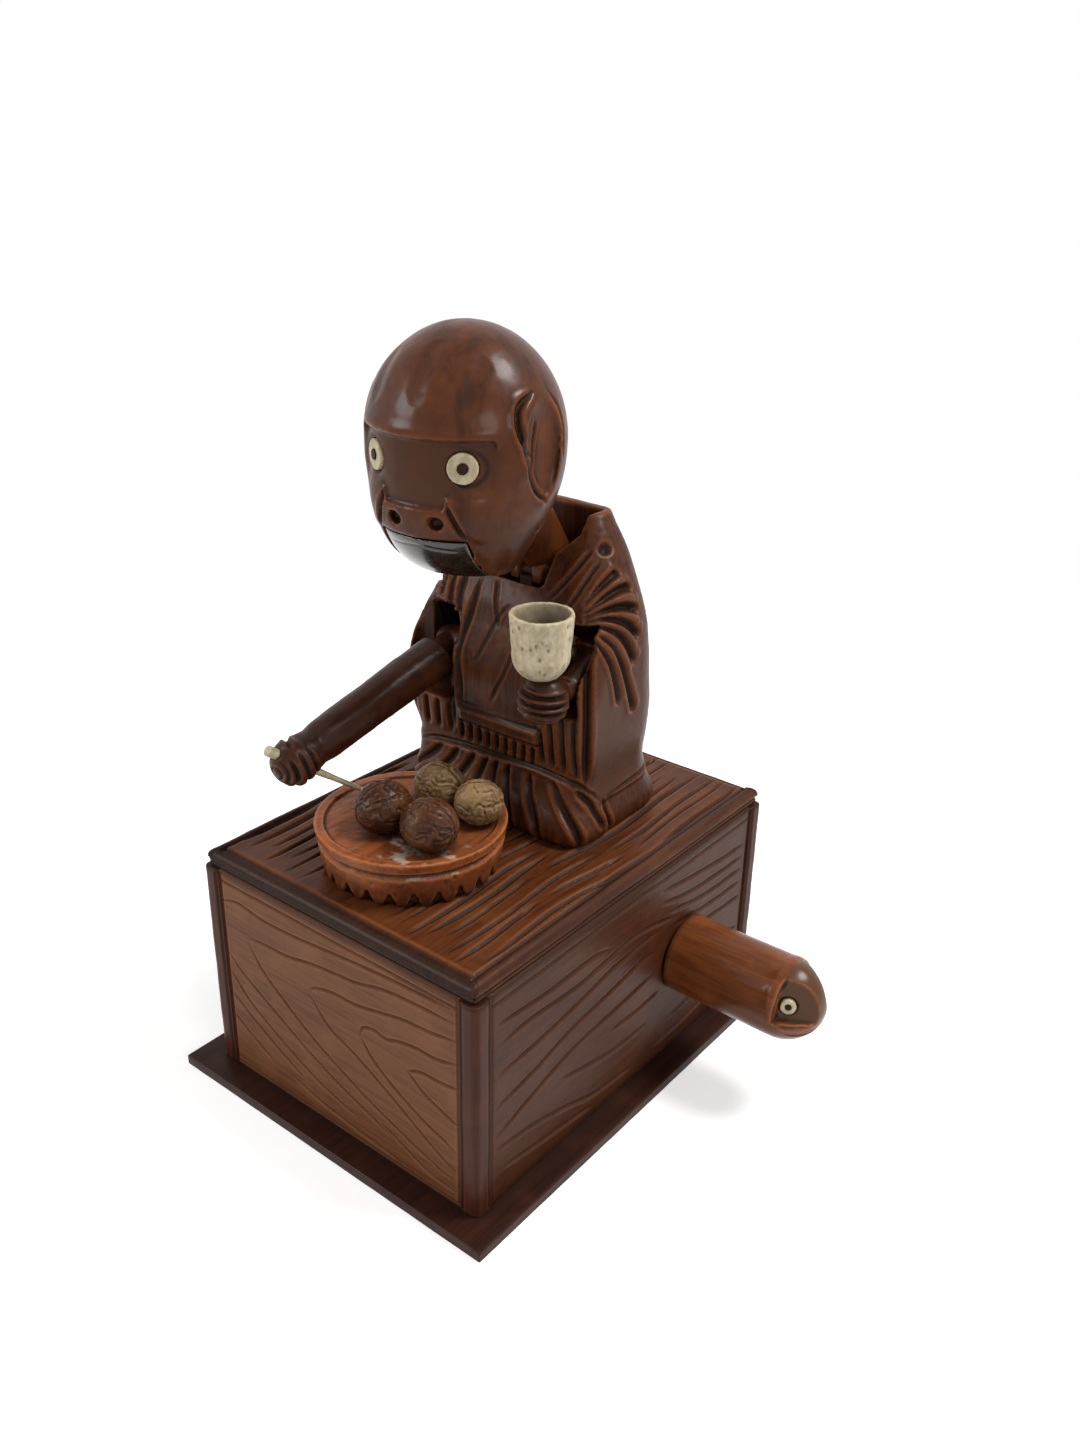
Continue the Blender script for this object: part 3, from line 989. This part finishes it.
robeLines = {
    # name: width, depth, lip, points
    "collarOuter": (0.55, 0.4, 0.1, [(10, 11.6, 91.6), (8.7, 8.8, 88.6), (7.2, 7, 85.8), (5.7, 5.7, 83.7)]),
    "collarFold": (0.45, 0.3, 0.08, [(11.8, 11.6, 90.3), (11.2, 9.2, 88), (10.4, 6.6, 84.8),
            (9.4, 5.2, 82)]),
    "lapelLong": (0.38, 0.3, 0.05, [(-1, 4.9, 81.6), (-2.8, 3.4, 79.6), (-4.4, 2, 75.3), (-6.5, 1, 70.5)]),
    "lapelCross": (0.42, 0.38, 0.05, [(3.6, 3.2, 79), (2.4, 2.2, 76.4), (1.3, 1.6, 74), (-0.1, 0.9, 70.1),
            (-2.6, 0.7, 64.4)]),
    "lapelRight": (0.5, 0.4, 0.08, [(-5.3, 6.4, 84.8), (-4.6, 5.4, 83.2), (-3.9, 4.2, 80.9),
            (-2.6, 2.9, 77.6)]),
    "bandRight": (0.75, 0.7, 0.15, [(-8.6, 5.8, 84.6), (-8.6, 4.1, 80.7), (-9, 2.8, 77.4), (-9.6, 1.7, 74),
            (-9.9, 1.1, 71.4), (-9.3, 0.7, 67.2), (-8.9, 0.8, 63)]),
    "shoulder1": (0.85, 0.65, 0.12, [(-11.8, 6.6, 84.4), (-11.9, 4.8, 82), (-11.5, 3.5, 79.3),
            (-10.9, 2.3, 75.8), (-10.6, 1.6, 72.2)]),
    "shoulder2": (0.85, 0.65, 0.12, [(-14.3, 8.4, 84.4), (-14, 5.2, 81.6), (-13.4, 3.8, 78.8),
            (-12.9, 2.9, 76.9)]),
    "shoulder3": (0.8, 0.6, 0.12, [(-16.6, 10.4, 84), (-16.2, 7, 81.4), (-15.6, 5, 79.2)]),
    "shoulder4": (0.8, 0.55, 0.1, [(-18, 13, 83), (-17.8, 9.6, 81), (-17.4, 7, 79)]),
    "underArm1": (0.7, 0.6, 0.1, [(-11.4, 1, 66), (-11.6, 1, 60.5), (-11.8, 1.6, 56)]),
    "underArm2": (0.7, 0.6, 0.1, [(-14.2, 1, 62.4), (-14.4, 1, 59.6), (-14.7, 1.7, 56.2)]),
    "underArm3": (0.7, 0.6, 0.1, [(-16.9, 1.6, 62.2), (-17, 1.6, 59.6), (-17.3, 2.4, 56.2)]),
    "underArm4": (0.7, 0.6, 0.1, [(-19.4, 2.8, 63), (-19.6, 2.8, 59.6), (-19.6, 3.4, 56.2)]),
    "innerEdge": (0.6, 0.55, 0.1, [(-11.2, 1, 71.4), (-10.7, 0.7, 67), (-10.5, 0.8, 62), (-10.9, 1.5, 57)]),
    "side1": (0.7, 0.7, 0.12, [(8.4, 0.7, 63.4), (8.6, 1, 60), (8.6, 1.7, 56.6)]),
    "side2": (0.75, 0.75, 0.12, [(10.6, 0.6, 65.4), (10.7, 0.9, 61), (10.6, 1.7, 56.4)]),
    "side3": (0.75, 0.8, 0.12, [(12.9, 0.7, 68.4), (13, 0.9, 62), (13, 1.8, 56.2)]),
    "side4": (0.75, 0.8, 0.12, [(15.1, 0.8, 70.4), (15.2, 1, 63), (15.2, 2.1, 56)]),
    "sleeveInner": (1, 1, 0.25, [(13.6, 4.4, 80), (15.6, 3.2, 77), (16.6, 2.2, 72.6), (16.9, 2, 68),
            (16.7, 2.4, 61), (16.3, 3.2, 54.8)]),
    "hem": (0.5, 0.45, 0.08, [(17.2, 6.6, 51), (17.6, 9, 51.2), (17.7, 13, 51.5), (17.6, 18, 51.7),
            (15.6, 23.4, 51.9), (10, 24.6, 52), (0, 24.8, 52), (-12, 24.6, 52), (-17.6, 23.4, 51.9),
            (-19.6, 18, 51.7), (-19.7, 12, 51.5), (-19.2, 6.6, 51)]),
    "kneeSplit": (0.8, 0.9, 0.15, [(17.4, 6.9, 51), (18, 7.4, 48.4), (18.2, 8.4, 44.6)]),
    "lapHem": (0.65, 0.62, 0.16, [(-18.2, 4.2, 53), (-15.6, 2, 54), (-12.3, 1.7, 54.4), (-7.1, 1.7, 54.8),
            (-3.1, 1.7, 54.9), (1.4, 1.7, 55.3), (5.8, 1.7, 55.5), (10.1, 1.7, 55.4), (15, 2.2, 54.9),
            (16.9, 4.3, 52.9), (17.4, 6.2, 51)]),
    "knee1": (0.85, 0.8, 0.14, [(-3.1, 1.7, 54.2), (-4, 1.4, 52.6), (-4.6, 0.4, 50), (-4.4, -0.4, 47),
            (-3.6, -0.6, 44.6)]),
    "knee2": (0.85, 0.8, 0.14, [(-1, 1.7, 54.3), (-1.6, 1.4, 52.6), (-1.4, 0.4, 50), (-0.6, -0.4, 47),
            (0.8, -0.6, 44.6)]),
    "knee3": (0.95, 0.9, 0.16, [(1.4, 1.7, 54.4), (1.1, 1.4, 52.4), (1.9, 0.3, 50), (3.4, -0.5, 47.4),
            (5.2, -0.6, 44.7)]),
    "knee4": (0.95, 0.9, 0.16, [(5.9, 1.7, 54.2), (6.4, 1, 51.2), (7.9, 0, 49), (9.8, -0.5, 46.6),
            (11, -0.5, 44.7)]),
    "knee5": (0.95, 0.9, 0.16, [(10.6, 1.7, 54.2), (12.3, 1.3, 52), (14.4, 0.8, 49.6), (16.2, 0.8, 47.2),
            (16.8, 1.4, 45)]),
    "knee6": (0.85, 0.75, 0.14, [(15, 2.3, 54), (16.7, 3.6, 51.5), (17.7, 4.8, 48.6), (18, 6, 46)]),
    "kneeR1": (0.9, 0.8, 0.14, [(-6.2, 1.7, 54), (-7.4, 1.1, 51.6), (-8.6, 0.2, 48.8), (-9.6, -0.4, 45.6)]),
    "kneeR2": (0.9, 0.8, 0.14, [(-9.9, 1.7, 54), (-11.4, 1, 51.2), (-13.2, 0.3, 48.6), (-14.8, 0.2, 45.6)]),
    "kneeR3": (0.9, 0.8, 0.14, [(-13.4, 1.7, 53.6), (-15.6, 1.4, 51), (-17.4, 1.6, 48.6),
            (-18.6, 2.6, 45.8)]),
    "seatFold1": (0.7, 0.45, 0.08, [(-19.6, 9, 44.8), (-19.7, 9.4, 48), (-19.6, 10.2, 51)]),
    "backSeam": (0.45, 0.35, 0.05, [(-1, 21, 93), (-1, 22.2, 84), (-1, 23.2, 72), (-1, 23.8, 60),
            (-1, 24.6, 52)]),
    "backFold1": (0.8, 0.4, 0.08, [(5, 23.6, 63), (6, 24, 57), (6.4, 24.6, 52.4)]),
    "backFold2": (0.8, 0.4, 0.08, [(-7, 23.6, 64), (-8, 24, 58), (-8.6, 24.6, 52.4)]),
    "backBeltTop": (0.5, 0.35, 0.06, [(16.6, 20.6, 64.5), (12, 23.6, 64.5), (-1, 24, 64.5), (-14, 23.6, 64.5),
            (-18.6, 20.6, 64.5)]),
}
fanLines = {
    "fan1": (0.9, 0.75, 0.2, [(12.4, 6.6, 84.6), (13.2, 8.4, 86.2), (13.6, 11, 87.4), (13.4, 13.8, 88.2)]),
    "fan2": (1.05, 1.05, 0.26, [(12.9, 6.2, 83.2), (14.2, 8.8, 84.8), (14.9, 12.2, 85.8),
            (14.9, 15.6, 85.6)]),
    "fan3": (1.15, 1.2, 0.28, [(13.2, 5.9, 82.4), (15.2, 9, 83.4), (16.2, 12.6, 83.2), (16.4, 16.2, 82)]),
    "fan4": (1.1, 1.15, 0.28, [(13.4, 5.8, 81.8), (15.7, 8.6, 82.1), (16.9, 12.2, 80.6), (17.3, 15.4, 77.6)]),
    "fan5": (1, 1.1, 0.26, [(13.4, 5.6, 81.2), (15.9, 7.6, 80.8), (17.3, 10.8, 78.4), (17.8, 13.8, 73.6)]),
    "fan6": (0.9, 1, 0.24, [(13.4, 5.4, 80.6), (16, 6.6, 79.6), (17.4, 8.6, 77), (17.9, 11.2, 71.6),
            (18, 13.8, 64.8)]),
    "fan7": (0.85, 0.95, 0.24, [(13.4, 5.1, 80), (15.9, 5.6, 78.6), (17.2, 6.8, 75.8), (17.8, 8.4, 71.4),
            (18, 9.4, 67.6)]),
}


def makeRobe():
    nodes = ["lap", "torso", "collar_band", "left_sleeve", "right_sleeve"]
    piece = clay("carved_robe", nodes, robeLook["voxel"], 3)
    work = Carving(piece)
    x, y, z = work.co.T
    frontal = soften(-work.n[:, 1], 0.2, 0.5) * (y < 6)
    belt = soften(z, 59.6, 60.0) * soften(62.6 - z, 0, 0.4) * soften(x, -9.6, -8.8) * soften(8.6 - x, 0,
            0.6) * frontal
    work.push(robeLook["beltRise"] * belt)
    lap = soften(54.9 - z, 0.0, 1.6) * frontal
    work.push(robeLook["beltRise"] * lap)
    chest = soften(z, 62.6, 63.4) * soften(9.5 - abs(x + 0.5), 0, 1.5) * soften(82 - z, 0, 4) * frontal
    work.push(-robeLook["chestDip"] * chest)
    hemZone = soften(51.0 - z, 0.0, 0.7) * soften(y, 6.8, 7.8)
    work.push(-robeLook["hemDip"] * hemZone)
    rimLine = [(-20.9, 4.4, 62.0), (-21.2, 5.2, 70.0), (-20.8, 5.0, 75.6), (-19.6, 4.0, 78.6),
            (-16.0, 3.0, 79.6), (-12.0, 2.6, 78.8), (-11.3, 1.6, 73.0)]
    away = nearest(work.co, smoothLine(rimLine))[0]
    work.relax(robeLook["rimRounding"], soften(3.0 - away, 0, 1.5) * (work.co[:, 1] < 12))
    for name, (width, depth, lip, points) in robeLines.items():
        work.groove(points, width, depth, ends=0.14, soot=0.95, lip=lip)
    for width, depth, lip, points in fanLines.values():
        work.groove(points, width * 0.62, depth * 1.15, soot=1.0, lip=lip, flare=0.9)
        work.groove(flipped(points), width * 0.6, depth * 0.9, soot=0.9, lip=lip * 0.8, flare=0.7)
    for zBelt in (62.5, 59.6):
        work.groove([(-9.4, 0.7, zBelt), (-4.5, 0.7, zBelt), (0, 0.7, zBelt + 0.1), (4.0, 0.7, zBelt + 0.2),
                (8.6, 0.7, zBelt + 0.4)], 0.42, 0.42, ends=0.03, soot=1.0, lip=0.08)
    for i in range(robeLook["gathers"]):  # under the belt
        gx = -8.8 + i * 1.95
        work.groove([(gx, 1.1, 59.3), (gx - 0.25, 1.3, 57.8), (gx - 0.5, 1.7, 55.6)], 0.55, 0.62, ends=0.12,
                soot=1.0, lip=0.14)
    for i in range(robeLook["backPleats"]):  # down the back below the collar
        bx = -13.0 + i * 4.0
        work.groove([(bx * 0.7, 20.2, 90.0), (bx * 0.85, 21.8, 84.0), (bx, 22.6, 77.0)], 0.7, 0.3, ends=0.3,
                soot=0.5, lip=0.06)
    work.swell((11.3, 13.2, 91.6), (1.3, 1.6, 1.3), -0.9, soot=1.0)
    mouth = [(-21.6, 4.8, 75.4), (-19.8, 3.0, 78.2), (-16.6, 2.6, 79.6), (-12.6, 2.2, 78.2),
            (-11.2, 1.4, 73.6), (-11.4, 1.0, 69.0)]
    work.groove(mouth, 0.5, -0.35, ends=0.15, soot=0.0)
    work.groove([(x0 + 0.2, y0 + 1.2, z0 - 1.1) for x0, y0, z0 in mouth], 0.5, 0.25, ends=0.2, soot=0.5)
    work.roughen(5.0, 0.1)
    work.roughen(0.8, 0.03)
    x, y, z = work.co.T
    outer = soften(x, 16.4, 17.2) * soften(z, 51.0, 51.8) * soften(84.0 - z, 0, 5.0) * soften(y, 3.4, 4.6)
    outer = np.maximum(outer, soften(-2 - x, 17.6, 18.4) * soften(z, 51.0, 51.8) * soften(84.0 - z, 0,
            5.0) * soften(y, 3.4, 4.6))
    work.tone = robeLook["outerTone"] * outer
    inside = soften(5.7 - abs(x + 15.9), 0, 0.8) * soften(y, 3.4, 5.0) * soften(z, 59, 61) * soften(79.5 - z,
            0, 1.5)
    work.soot = np.maximum(work.soot, robeLook["roomSoot"] * inside * (x > -21.9))
    work.soot = np.maximum(work.soot, 0.55 * (1 - soften(z, 44.4, 45.2)))
    place(work.done(spread=2), "box", nodes, paints["robe"])


makeRobe()
print("stage: robe")


# Arms, hands, cup and pick

def makeRightArm():
    piece = clay("carved_right_arm", ["right_arm"], 0.22, 3)
    work = Carving(piece)
    pivot = np.array([-15.2, 6.9, 70.8])
    drop = math.radians(13.1)
    out = np.array([0, -math.cos(drop), -math.sin(drop)])
    up = np.array([0, -math.sin(drop), math.cos(drop)])
    q = work.co - pivot
    along = q @ out
    wrist = np.exp(-((along - 34.6) / 1.3) ** 2)
    work.push(-0.3 * wrist)
    fist = pivot + out * 39.0

    def onFist(points):  # turn about the arm's line and distance along it
        made = []
        for turn, reach, r in points:
            a = math.radians(turn)
            made.append(tuple(fist + out * reach + (up * math.cos(a) + np.array([1.0, 0,
                    0]) * math.sin(a)) * r))
        return made

    for reach in (-1.7, 0.1, 1.9):  # between the fingers
        r = math.sqrt(max(0.5, 3.8 ** 2 - reach ** 2))
        work.groove(onFist([(t, reach + 0.3 * math.sin(t / 40), r) for t in range(40, 221, 20)]), 0.55, 0.65,
                ends=0.15, soot=1.0, lip=0.14)
    work.groove(onFist([(-60, -1.8, 3.3), (-20, -0.6, 3.7), (25, 0.8, 3.7)]), 0.6, 0.55, ends=0.2, soot=0.9,
            lip=0.14)
    work.groove(onFist([(20, 2.9, 2.4), (80, 3.0, 2.3), (140, 2.9, 2.4)]), 0.45, 0.35, ends=0.2, soot=0.8)
    work.groove(onFist([(t, 3.6, 1.2) for t in range(0, 361, 30)]), 0.4, 0.3, ends=0.001, soot=0.8)
    work.roughen(3.5, 0.1)
    work.roughen(0.9, 0.03)
    place(work.done(), "right_arm", ["right_arm"], paints["arm"])


def makeLeftArm():
    piece = clay("carved_left_arm", ["left_arm"], 0.2, 3)
    work = Carving(piece)
    palm = np.array([12.2, -3.0, 71.3])
    for i, lift in enumerate((1.7, 0.3, -1.1, -2.4)):
        ring = []
        for t in range(-150, 31, 15):
            a = math.radians(t)
            r = math.sqrt(max(0.5, 1 - (lift / 4.1) ** 2))
            ring.append((palm[0] + 4.0 * r * math.cos(a), palm[1] + 4.1 * r * math.sin(a),
                    palm[2] + lift - 0.4 * math.cos(a) + 0.1 * i))
        work.groove(ring, 0.52, 0.7, ends=0.12, soot=1.0, lip=0.22)
    for t in (-140, -95, -50, -5):  # finger ends and knuckles
        a = math.radians(t)
        for lift in (1.0, -0.4, -1.8):
            work.swell((palm[0] + 3.6 * math.cos(a), palm[1] + 3.7 * math.sin(a), palm[2] + lift),
                    (1.3, 1.3, 0.8), 0.12)
    work.groove([(13.6, 1.6, 72.6), (12.4, 0.4, 73.4), (11.4, -0.8, 73.6)], 0.5, 0.35, soot=0.7)
    work.roughen(1.8, 0.08)
    place(work.done(), "left_arm", ["left_arm"], paints["arm"])


cupLook = {"voxel": 0.2, "pores": 34, "seed": 3, "inside": 0.9, "x": 11.5, "y": -3.0}


def makeCup():
    piece = clay("bone_cup", ["cup"], cupLook["voxel"], 4)
    work = Carving(piece)
    z = work.co[:, 2]
    centre = np.array([cupLook["x"], cupLook["y"]])
    out = work.co[:, :2] - centre
    r = np.linalg.norm(out, axis=1)
    facing = (work.n[:, :2] * out).sum(1) / np.maximum(r, 0.01)
    inside = (facing < -0.2) | ((r < 3.6) & (z > 76.0) & (work.n[:, 2] > 0.2))
    work.tone = np.where(inside, cupLook["inside"] * (1 - 0.5 * soften(z, 83.5, 85.4)),
            0.25 * (1 - soften(z, 73.8, 76.0)))
    work.roughen(2.2, 0.07)
    work.roughen(0.6, 0.025)
    rng = np.random.default_rng(cupLook["seed"])
    for _ in range(cupLook["pores"]):
        a, h = rng.uniform(0, 2 * math.pi), rng.uniform(76.0, 84.6)
        rr = 4.6 + 0.09 * (h - 79.4) if h > 79.4 else 4.6 - 0.22 * (79.4 - h)
        work.swell((centre[0] + rr * math.cos(a), centre[1] + rr * math.sin(a), h), (0.32, 0.32, 0.5), -0.14,
                soot=0.7)
    place(work.done(spread=1, sharp=0.6), "left_arm", ["cup"], paints["bone"])


def makePick():
    piece = clay("bone_pick", ["pick"], 0.12, 2)
    work = Carving(piece)
    work.push(-0.05 + 0.06 * cloud(work.co * (0.8, 0.25, 0.25)))
    start, end = np.array([-16.1, -35.3, 65.2]), np.array([-12.6, -18.8, 52.7])
    for shift in (-0.55, 0.5):
        work.groove([start + (shift, 0, 0.5), (start + end) / 2 + (shift * 0.7, 0, 0.45),
                end + (shift * 0.4, 0, 0.2)], 0.2, 0.09, ends=0.2, soot=0.7)
    place(work.done(spread=1, sharp=0.5), "right_arm", ["pick"], paints["bone"])


makeRightArm()
makeLeftArm()
makeCup()
makePick()
print("stage: arms")


# CAD pieces that are shown as they are

innerPaints = {
    "inner": ["rod_guide", "bearing_block", "crank_shaft", "right_arm_foot", "left_arm_shoe", "head_shoe",
              "right_arm_cam", "left_arm_cam", "head_cam"],
    "bamboo": ["right_arm_rod", "left_arm_rod", "right_arm_peg", "left_arm_peg", "stop_pin", "stop_pegs",
               "cam_pins", "figure_dowels", "tray_dowel", "left_shoulder_pin", "right_shoulder_pin"],
    "plug": ["pupils", "knob_pupils", "jaw_pin", "neck_peg", "neck_pin", "head_rod"],
    "brass": ["base_nails"],
    "head": ["neck_post"],
}
for paintName, nodeNames in innerPaints.items():
    for nodeName in nodeNames:
        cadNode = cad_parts[nodeName]
        if not cadNode.data.materials:
            cadNode.data.materials.append(paints[paintName])
        for materialSlot in cadNode.material_slots:
            materialSlot.material = paints[paintName]


# Floor, light and camera

worldLight = {"seen": 1.0, "fill": 0.24, "floorSeen": 0.55, "floorWhite": 0.86}


def seenBy(p):  # 1 for rays from the camera, from glossy surfaces and through glass
    rays = p.nodes.new("ShaderNodeLightPath")
    names = ("Is Camera Ray", "Is Glossy Ray", "Is Transmission Ray")
    camera, glossy, through = (Sock(p, rays.outputs[name]) for name in names)
    return camera.larger(glossy).larger(through)


def floorPaint():
    p = Paint("paleFloor")
    p.tree.nodes.remove(p.shader)
    at = p.node("ShaderNodeTexCoord", {}, output="Object")
    far = p.ramp(p.node("ShaderNodeVectorMath", {0: at}, output="Value", operation="LENGTH"), 0.13, 0.36)
    seen = seenBy(p.tree)
    white = worldLight["floorWhite"]
    diffuse = p.node("ShaderNodeBsdfDiffuse", {"Color": (white, white, white)})
    lift = p.mix((0, 0, 0), (1, 1, 1), seen * worldLight["floorSeen"])
    near = p.node("ShaderNodeAddShader", {0: diffuse, 1: p.node("ShaderNodeEmission", {"Color": lift})})
    fill = worldLight["fill"]
    whole = p.node("ShaderNodeEmission", {"Color": p.mix((fill, fill, fill), (1, 1, 1), seen)})
    mixed = p.node("ShaderNodeMixShader", {0: far, 1: near, 2: whole})
    p.put(p.tree.nodes["Material Output"].inputs["Surface"], mixed)
    return p.material


bpy.ops.mesh.primitive_circle_add(vertices=96, radius=1.6, fill_type="NGON", location=(0, 0, 0))
floor = bpy.context.active_object
floor.name = "floor"
floor.data.materials.append(floorPaint())

world = bpy.data.worlds.new("studio")
bpy.context.scene.world = world
world.use_nodes = True
tree = world.node_tree
background = tree.nodes["Background"]
seen = seenBy(tree)
strength = seen * worldLight["seen"] + (1 - seen) * worldLight["fill"]
background.inputs["Color"].default_value = (1, 1, 1, 1)
tree.links.new(strength.out, background.inputs["Strength"])

lightLook = {
    # name: place in metres, size, power, colour
    "keyLight": ((0.3, 0.22, 0.62), 0.24, 3.8, (1.0, 0.985, 0.95)),
    "frontLight": ((-0.42, -0.5, 0.4), 0.3, 2.4, (1.0, 0.985, 0.96)),
    "sideLight": ((0.62, -0.25, 0.35), 0.24, 0.9, (1.0, 0.99, 0.98)),
}
for lightName, (spot, size, power, tint) in lightLook.items():
    light = bpy.data.lights.new(lightName, "AREA")
    light.shape = "DISK"
    light.size = size
    light.energy = power
    light.color = tint
    lamp = bpy.data.objects.new(lightName, light)
    lamp.location = spot
    lamp.rotation_mode = "QUATERNION"
    lamp.rotation_quaternion = (Vector((0, 0, 0.07)) - Vector(spot)).to_track_quat("-Z", "Y")
    bpy.context.scene.collection.objects.link(lamp)

cameraLook = {"place": (125.2, -146.9, 154.1), "lens": 32.03, "right": (0.7794, 0.6263, 0.0175),
        "down": (0.2802, -0.3235, -0.9038), "ahead": (-0.5603, 0.7093, -0.4276)}
camera = bpy.data.objects.new("photoView", bpy.data.cameras.new("photoView"))
bpy.context.scene.collection.objects.link(camera)
camera.data.lens = cameraLook["lens"]
camera.data.sensor_width = 36
camera.data.sensor_fit = "AUTO"
camera.data.clip_start, camera.data.clip_end = 0.01, 10
axes = Matrix([cameraLook["right"], [-v for v in cameraLook["down"]],
        [-v for v in cameraLook["ahead"]]]).transposed()
camera.matrix_world = Matrix.Translation(Vector(cameraLook["place"]) * mm) @ axes.to_4x4()
bpy.context.scene.camera = camera
bpy.context.scene.view_settings.view_transform = "Standard"
